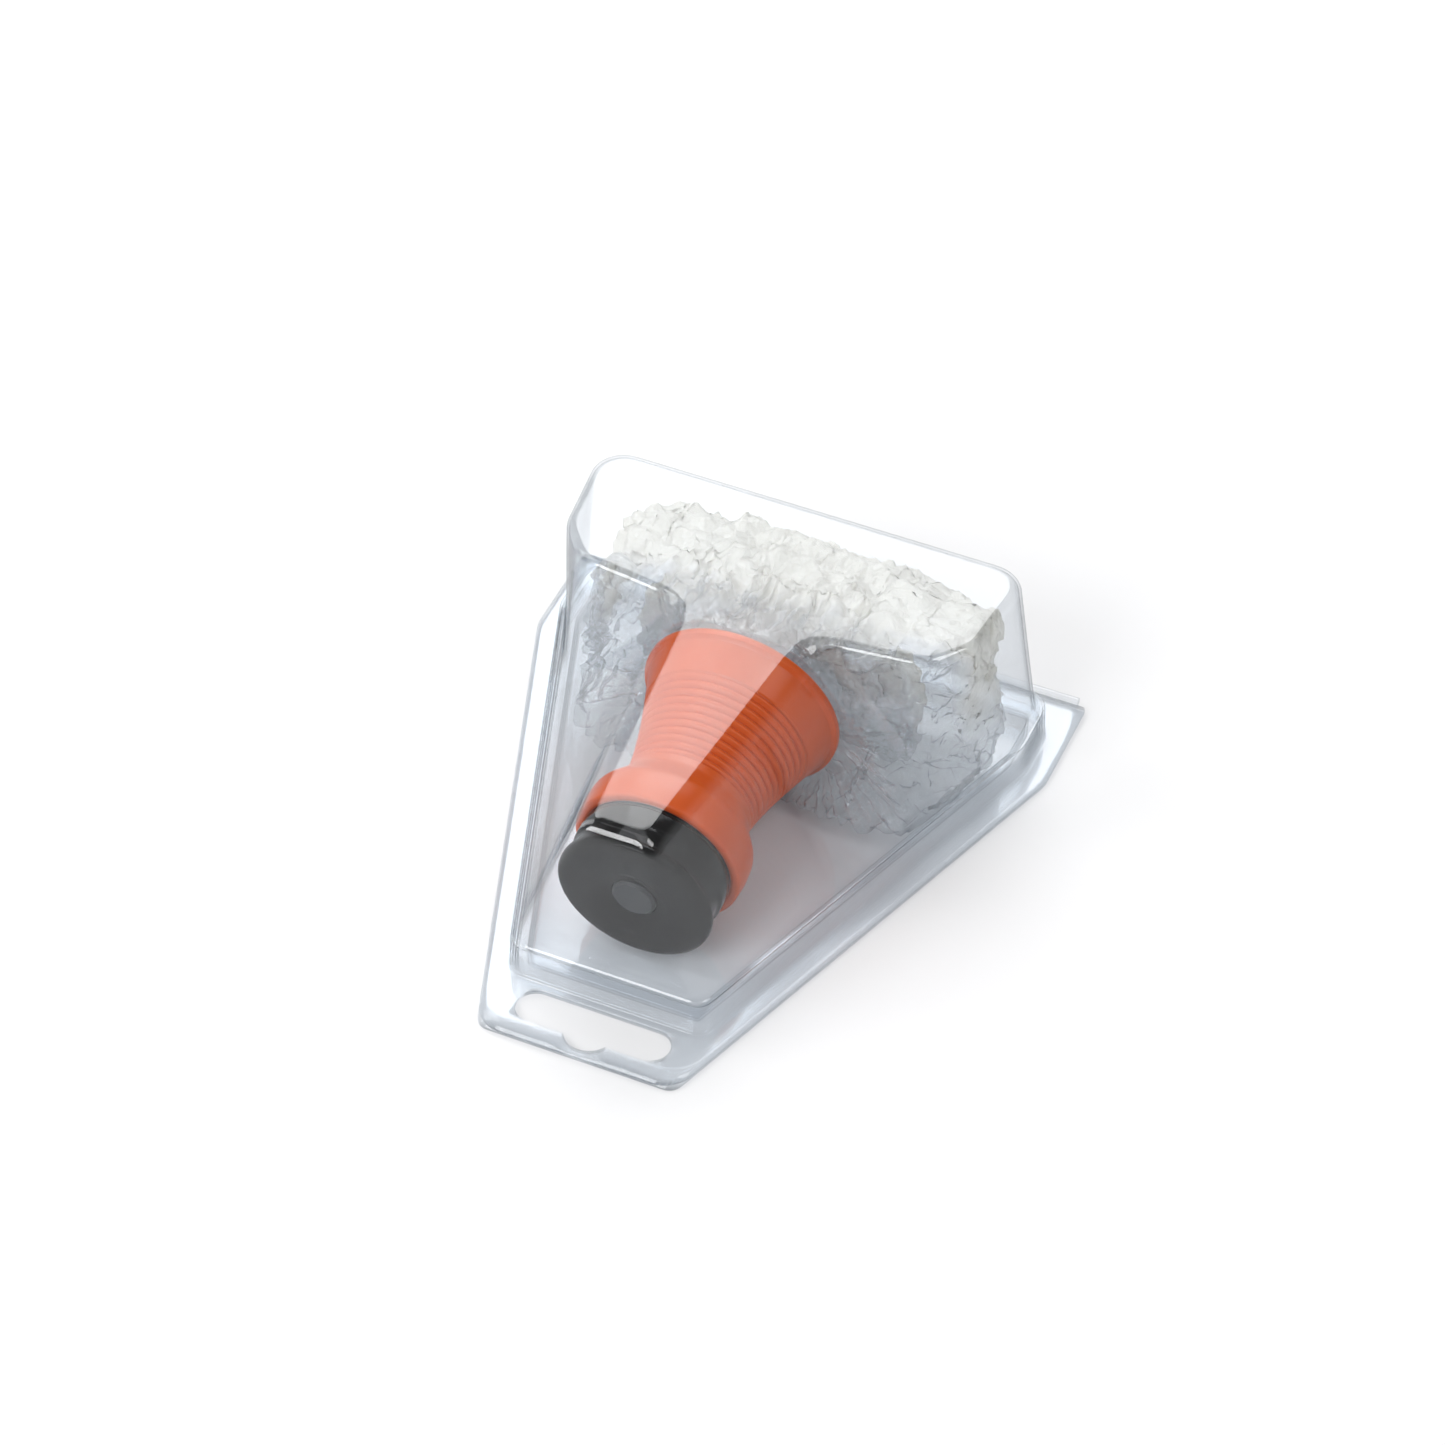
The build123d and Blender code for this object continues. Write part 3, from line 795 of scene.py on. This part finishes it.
# Holds the film off the neck, the two flat faces, the far wall, the shoulders' front and the
# side walls, each by moving a point straight out of the way.
def keptInside(points, key, pleat):
    s = bagSettings
    outer = key[:, None] > 2.9  # past the ring, outside the flare
    station, off = axisCoordinates(points)
    radius = np.linalg.norm(off, axis=-1)
    keepOff = neckRadius(np.minimum(station, neckSizes["flare"])) + s["neckGap"]
    beside = outer & (station < neckSizes["flare"] + 0.9)
    grow = np.where(beside, np.maximum(keepOff / np.maximum(radius, 1e-6), 1.0), 1.0)
    points = points + off * (grow - 1)[..., None]
    points[..., 2] = np.clip(points[..., 2], s["floor"] + 0.2 * np.abs(pleat), s["ceiling"])
    points[..., 1] = np.minimum(points[..., 1], s["far"] + 0.3 * pleat)
    across = np.abs(points[..., 0])
    level = np.clip((points[..., 2] - pack["plinthTop"]) / (pack["domeTop"] - pack["plinthTop"]), 0, 1)
    besideRidge = smoothStep((across - ridgeHalf(points[..., 1], level) + 2.8) / 1.2)
    behind = np.maximum(shoulderFront(across, level) + s["shoulderGap"] - points[..., 1], 0) * besideRidge
    underRim = smoothStep((4.5 - points[..., 2]) / 1.5) * smoothStep((8.0 - across) / 3.0)
    under = np.maximum(s["rimY"] - points[..., 1], 0) * underRim
    points[..., 1] += np.where(outer, np.maximum(behind, under), 0)
    room = roomHalf(points[..., 1], level) - s["wallGap"]
    plinth = taperHalf(np.minimum(points[..., 1], pack["taperLength"]), s["flangeInset"])
    room = np.where(points[..., 2] < 6.5, np.minimum(room, plinth), room)
    points[..., 0] = np.where(outer, np.clip(points[..., 0], -room, room), points[..., 0])
    return points


# The film's grid, with the number of the section that each row has reached.
def bagSurface():
    s = bagSettings
    a = np.linspace(0, 2 * np.pi, s["around"], endpoint=False)
    sections = bagSections(a)
    spans = np.linalg.norm(np.diff(sections, axis=0), axis=2).mean(1) + 1.5
    travel = np.r_[0, np.cumsum(spans)]
    t = np.interp(np.linspace(0, travel[-1], s["along"]), travel, np.linspace(0, 1, len(travel)))
    key = t * (len(sections) - 1)
    points, pleat = pleated(alongSections(sections, t), key, a)
    return keptInside(creased(points, key), key, pleat), key


bagPoints, bagKey = bagSurface()
bagRows, bagColumns = bagPoints.shape[:2]
tip = bagRows * bagColumns  # one more point closes the folded-in end
ringStart = tip - bagColumns + np.arange(bagColumns)
ringNext = tip - bagColumns + (np.arange(bagColumns) + 1) % bagColumns
bagFan = np.stack([np.full(bagColumns, tip), ringNext, ringStart], 1)
bagFaces = gridFaces(bagRows, bagColumns)[:, ::-1].tolist() + bagFan.tolist()
bagVerts = np.vstack([bagPoints.reshape(-1, 3), bagPoints[-1].mean(0)])
bag = meshObject("catch_bag_film", toFrame(bagVerts), bagFaces)
# Milk is 0 on the flare and in front, and grows with y, with height and towards the bulk.
milk = smoothStep((bagKey - 4.8) / 2.2)[:, None] * smoothStep((bagPoints[..., 1] - 84.0) / 9.0)
milk = milk * (0.12 + 0.88 * smoothStep((bagPoints[..., 2] - 8.0) / 24.0))
layer = bag.data.attributes.new("milk", "FLOAT", "POINT")
layer.data.foreach_set("value", np.r_[milk.ravel(), milk[-1].mean()])
bag.data.materials.append(filmMaterial("polyethyleneBagFilm"))
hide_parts("catch_bag")
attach(bag, "bag")
print("bag ready")

camera = {"azimuth": -23.54, "elevation": 45.83, "roll": 0.23, "distance": 1.0, "lens": 123.67,
          "target": (-10.08, 92.63, 0.0)}


# Camera on a line through the target: forward from azimuth and elevation, then rolled.
def placeCamera():
    a, e, r = (math.radians(camera[k]) for k in ("azimuth", "elevation", "roll"))
    forward = np.array([math.sin(a) * math.cos(e), math.cos(a) * math.cos(e), -math.sin(e)])
    side = np.array([math.cos(a), -math.sin(a), 0])
    up = np.cross(side, forward)
    right = side * math.cos(r) + up * math.sin(r)
    top = up * math.cos(r) - side * math.sin(r)
    place = toFrame(camera["target"]) - forward * camera["distance"]
    data = bpy.data.cameras.new("camera")
    data.lens, data.sensor_width, data.clip_start, data.clip_end = camera["lens"], 36.0, 0.05, 20
    item = bpy.data.objects.new("camera", data)
    rows = np.vstack([np.stack([right, top, -forward, place], 1), (0, 0, 0, 1)])
    item.matrix_world = Matrix(rows.tolist())
    bpy.context.scene.collection.objects.link(item)
    bpy.context.scene.camera = item


placeCamera()

softboxes = {  # azimuth, elevation, distance in metres, size in metres, watts
    "topBackSoftbox": (-23.5, 48, 1.2, (1.0, 0.7), 9.0),      # mirrored in the dome's flat top
    "leftSoftbox": (-100, 40, 1.3, (0.5, 0.9), 4.3),
    "rightSoftbox": (95, 55, 1.3, (0.4, 0.6), 3.7),
    "overheadSoftbox": (156, 72, 1.6, (1.2, 1.2), 2.6),
    "frontSoftbox": (200, 38, 1.3, (0.7, 0.5), 8.5),          # mirrored in the ridge's front edge
}
for name, (azimuth, elevation, distance, size, power) in softboxes.items():
    a, e = math.radians(azimuth), math.radians(elevation)
    toward = np.array([math.sin(a) * math.cos(e), math.cos(a) * math.cos(e), math.sin(e)])
    light = bpy.data.lights.new(name, "AREA")
    light.shape, light.size, light.size_y, light.energy = "RECTANGLE", size[0], size[1], power
    item = bpy.data.objects.new(name, light)
    item.location = Vector(toward * distance)
    item.rotation_euler = Vector(toward).to_track_quat("Z", "Y").to_euler()
    bpy.context.scene.collection.objects.link(item)

skySteps = [(0.0, 0.72), (0.15, 0.58), (0.45, 0.18), (1.0, 0.18)]  # height of a direction, brightness
world = bpy.data.worlds.new("studio")  # pale at the horizon and dim above, as a dark ceiling is
world.use_nodes = True
worldTree = world.node_tree
worldPlace = addNode(worldTree, "ShaderNodeTexCoord").outputs["Generated"]
height = addNode(worldTree, "ShaderNodeSeparateXYZ", None, Vector=worldPlace).outputs["Z"]
sky = addNode(worldTree, "ShaderNodeValToRGB", None, Fac=height)
while len(sky.color_ramp.elements) < len(skySteps):
    sky.color_ramp.elements.new(1)
for element, (at, value) in zip(sky.color_ramp.elements, skySteps):
    element.position = at
    element.color = (value, value, value, 1)
worldTree.links.new(sky.outputs["Color"], worldTree.nodes["Background"].inputs["Color"])
bpy.context.scene.world = world

table = {"half": 4.0, "gap": 0.0002, "colour": "#ebebec"}  # metres
floorCorners = [(-1, -1, 0), (1, -1, 0), (1, 1, 0), (-1, 1, 0)]
floorVerts = np.array(floorCorners, float) * table["half"] - (0, 0, table["gap"])
floor = meshObject("floor", floorVerts, [[0, 1, 2, 3]], False)
# Wood with matt white paint: plain and pale, with no gloss.
floorMaterial, floorTree, floorSurface = newMaterial("paintedWhiteTable")
floorBody = addNode(floorTree, "ShaderNodeBsdfDiffuse", {"Color": linear(table["colour"])})
floorTree.links.new(floorBody.outputs[0], floorSurface)
floor.data.materials.append(floorMaterial)

scene = bpy.context.scene
scene.view_settings.view_transform = "Standard"
scene.cycles.transparent_max_bounces = 48  # a line of sight crosses many layers of sheet and film
scene.cycles.max_bounces = 16
print("camera, lights and floor ready")
